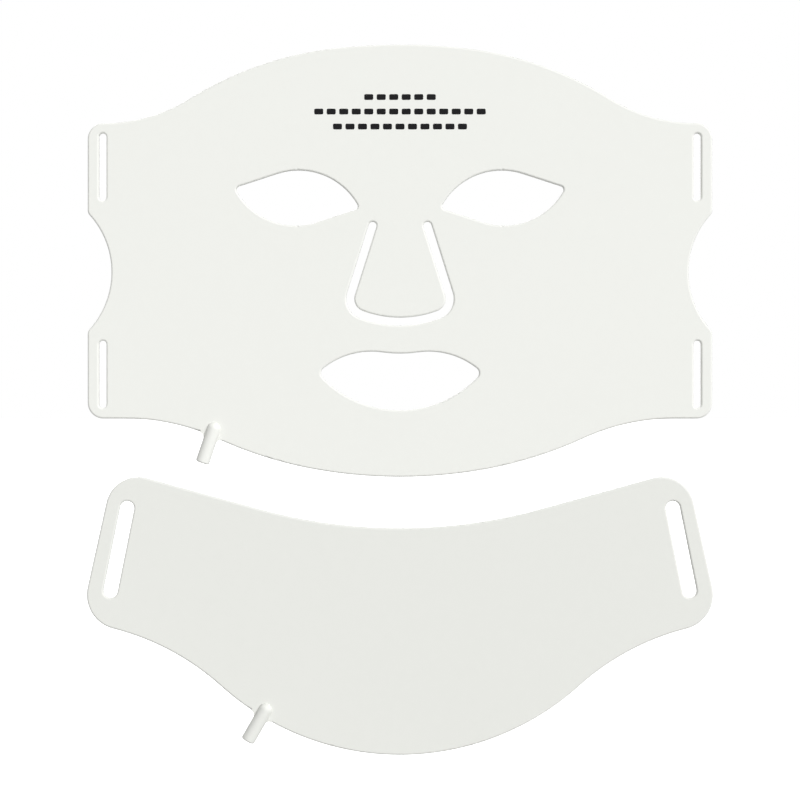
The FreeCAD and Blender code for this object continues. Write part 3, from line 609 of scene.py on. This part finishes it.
def resistor_model():
    """Chip resistor about the origin, lying along X: ceramic, dark glaze and two end caps."""
    half = Vector((1.56, 0.255, 0.76)) * MM
    core_end, core_side, core_drop = 0.1 * MM, 0.04 * MM, 0.06 * MM
    glaze_end, glaze_side, glaze_thick, glaze_edge = 0.5 * MM, 0.1 * MM, 0.07 * MM, 0.03 * MM
    cap_length, cap_drop, cap_edge = 0.45 * MM, 0.02 * MM, 0.08 * MM
    core = block("resistor_core", Vector((-half.x + core_end, -half.y + core_side, -half.z + core_side)),
                 Vector((half.x - core_end, half.y - core_drop, half.z - core_side)), 0)
    glaze = block("resistor_glaze",
                  Vector((-half.x + glaze_end, half.y - glaze_thick, -half.z + glaze_side)),
                  Vector((half.x - glaze_end, half.y, half.z - glaze_side)), glaze_edge, 1)
    caps = [block(f"resistor_cap_{end}", Vector((low, -half.y, -half.z)),
                  Vector((low + cap_length, half.y - cap_drop, half.z)), cap_edge)
            for end, low in enumerate((-half.x, half.x - cap_length))]
    for part in (core, glaze, *caps):
        wear(part, CERAMIC, GLAZE, TIN)
    paint(glaze, 1)
    for cap in caps:
        paint(cap, 2)
    return join([core, glaze, *caps], "resistor_model")


def fill_places(model, places, name):
    return join([put(model, place, f"{name}_{number}") for number, place in enumerate(places)], name)


def chip_centres(source, reach):
    return [(low + high) / 2 for low, high in chips_of(source, reach)]


# corners nearer than this to a chip's middle belong to that chip
CHIP_REACH = 5 * MM
RED_LAMP = lamp_model("red_lamp_model", RED_RESIN)
INFRARED_LAMP = lamp_model("infrared_lamp_model", DARK_RESIN)
RESISTOR = resistor_model()

for kind, model in (("red", RED_LAMP), ("infrared", INFRARED_LAMP)):
    for panel in ("face", "neck"):
        middle = chip_centres(f"{panel}_centre_{kind}_leds", CHIP_REACH)
        for side_name, side in (("left", -1), ("right", 1)):
            wing = f"{panel}_{side_name}_{kind}_leds"
            places = [place for place in middle if place.x * side > 0] + chip_centres(wing, CHIP_REACH)
            lamps = fill_places(model, places, f"{panel}_{side_name}_{kind}_lamps")
            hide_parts(wing, f"{panel}_centre_{kind}_leds")
            bend(lamps)
    places = chip_centres(f"nose_flap_{kind}_leds", CHIP_REACH)
    lamps = fill_places(model, places, f"nose_flap_{kind}_lamps")
    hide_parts(f"nose_flap_{kind}_leds")
    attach(lamps, "nose_flap")

for panel in ("face", "neck"):
    source = f"{panel}_resistors"
    chips = fill_places(RESISTOR, chip_centres(source, CHIP_REACH), f"{panel}_resistor_chips")
    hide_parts(source)
    bend(chips)

for model in (RED_LAMP, INFRARED_LAMP, RESISTOR):
    remove(model)


# ---------------------------------------------------------------- printed marks
def print_rows():
    """Three centred rows of short rounded dashes in black ink, a hair proud of the forehead."""
    length, pitch, height, radius = 3.6 * MM, 5.0 * MM, 2.3 * MM, 0.55 * MM
    proud, sunk, corner_steps = 0.06 * MM, 0.03 * MM, 4
    low = Vector((-length / 2, -proud, -height / 2))
    dash = block("dash_model", low, Vector((length / 2, sunk, height / 2)), 0)
    edit(dash)
    bpy.ops.mesh.select_all(action="DESELECT")
    done()
    for edge in dash.data.edges:
        ends = [dash.data.vertices[index].co for index in edge.vertices]
        edge.select = abs(ends[0].y - ends[1].y) > sunk
    bpy.ops.object.mode_set(mode="EDIT")
    bpy.ops.mesh.select_mode(type="EDGE")
    bpy.ops.mesh.bevel(offset=radius, segments=corner_steps, affect="EDGES")
    done()
    # each row's height and its number of dashes
    rows = ((39.6 * MM, 6), (33.8 * MM, 14), (27.8 * MM, 11))
    places = [Vector(((number - (count - 1) / 2) * pitch, OUTER_FACE, z))
              for z, count in rows for number in range(count)]
    for side_name, side in (("left", -1), ("right", 1)):
        chosen = [place for place in places if place.x * side > WELD]
        marks = fill_places(dash, chosen, f"printed_dashes_{side_name}")
        wear(marks, INK)
        bend(marks)
    middle = [place for place in places if abs(place.x) <= WELD]
    if middle:
        marks = fill_places(dash, middle, "printed_dash_middle")
        wear(marks, INK)
        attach(marks, "face_centre")
    remove(dash)


print_rows()

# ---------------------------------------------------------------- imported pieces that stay
STAYING = {"lead_wires": RED_WIRE, "solder_joints": SOLDER, "socket_body": SOCKET,
           "socket_ferrule": NICKEL, "socket_contacts": BRASS}
for panel in ("face", "neck"):
    for part, material in STAYING.items():
        wear(bpy.data.objects[f"{panel}_{part}"], material)


# ---------------------------------------------------------------- studio
FLOOR_SIZE, FLOOR_DROP = 40, 40 * MM
FLOOR_GLOW, FLOOR_GREY = 0.62, 0.45
SEEN_LIGHT, FILL_LIGHT = 1.0, 0.4
KEY_ENERGY, KEY_SPREAD, KEY_FROM = 2.72, 30, Vector((0.62, -0.86, 0.55))
BACK_ENERGY, BACK_SPREAD, BACK_FROM = 1.8, 40, Vector((-0.4, 0.9, 0.7))
LENS, SENSOR, NEAREST = 100, 36, 0.01
CAMERA_DISTANCE, CAMERA_HEIGHT = 0.889, -81.6 * MM
WHITE = (1, 1, 1, 1)


def by_ray(tree, others, seen):
    """One shader for what the camera sees and another for all other rays."""
    path = tree.nodes.new("ShaderNodeLightPath")
    mix = tree.nodes.new("ShaderNodeMixShader")
    link(tree, path.outputs["Is Camera Ray"], mix.inputs[0])
    link(tree, others.outputs[0], mix.inputs[1])
    link(tree, seen.outputs[0], mix.inputs[2])
    return mix.outputs[0]


def sun(name, energy, spread, towards):
    """Light from far away in a direction; spread is its width in degrees."""
    light = bpy.data.lights.new(name, "SUN")
    light.energy = energy
    light.angle = math.radians(spread)
    item = bpy.data.objects.new(name, light)
    bpy.context.scene.collection.objects.link(item)
    item.rotation_euler = towards.to_track_quat("Z", "Y").to_euler()


def lay_floor():
    """Pale floor. It is seen white but throws little light back, so that lower edges stay darker."""
    bpy.ops.object.select_all(action="DESELECT")
    bpy.ops.mesh.primitive_plane_add(size=FLOOR_SIZE, location=(0, 0, CAD_BOX[0][2] - FLOOR_DROP))
    floor = bpy.context.object
    floor.name = "floor"
    material, tree, shader = blank_material("pale_floor", Roughness=0.9, Specular_IOR_Level=0.0,
                                            Emission_Strength=FLOOR_GLOW, Base_Color=WHITE,
                                            Emission_Color=WHITE)
    dim = node(tree, "ShaderNodeBsdfDiffuse", Color=(FLOOR_GREY, FLOOR_GREY, FLOOR_GREY, 1))
    link(tree, by_ray(tree, dim, shader), tree.nodes["Material Output"].inputs["Surface"])
    wear(floor, material)


def light_surroundings():
    """Even white surroundings that light the object less than they look."""
    world = bpy.data.worlds.new("studio")
    bpy.context.scene.world = world
    world.use_nodes = True
    tree = world.node_tree
    tree.nodes.clear()
    seen = node(tree, "ShaderNodeBackground", Color=WHITE, Strength=SEEN_LIGHT)
    fill = node(tree, "ShaderNodeBackground", Color=WHITE, Strength=FILL_LIGHT)
    output = tree.nodes.new("ShaderNodeOutputWorld")
    link(tree, by_ray(tree, fill, seen), output.inputs[0])


def stand_camera():
    camera = bpy.data.cameras.new("camera")
    camera.lens = LENS
    camera.sensor_width = SENSOR
    camera.clip_start = NEAREST
    item = bpy.data.objects.new("camera", camera)
    bpy.context.scene.collection.objects.link(item)
    item.location = (0, OUTER_FACE - CAMERA_DISTANCE, CAMERA_HEIGHT)
    item.rotation_euler = (math.radians(90), 0, 0)
    bpy.context.scene.camera = item
    bpy.context.scene.view_settings.view_transform = "Standard"


lay_floor()
light_surroundings()
sun("key_light", KEY_ENERGY, KEY_SPREAD, KEY_FROM)
sun("back_light", BACK_ENERGY, BACK_SPREAD, BACK_FROM)
stand_camera()
bpy.context.view_layer.update()
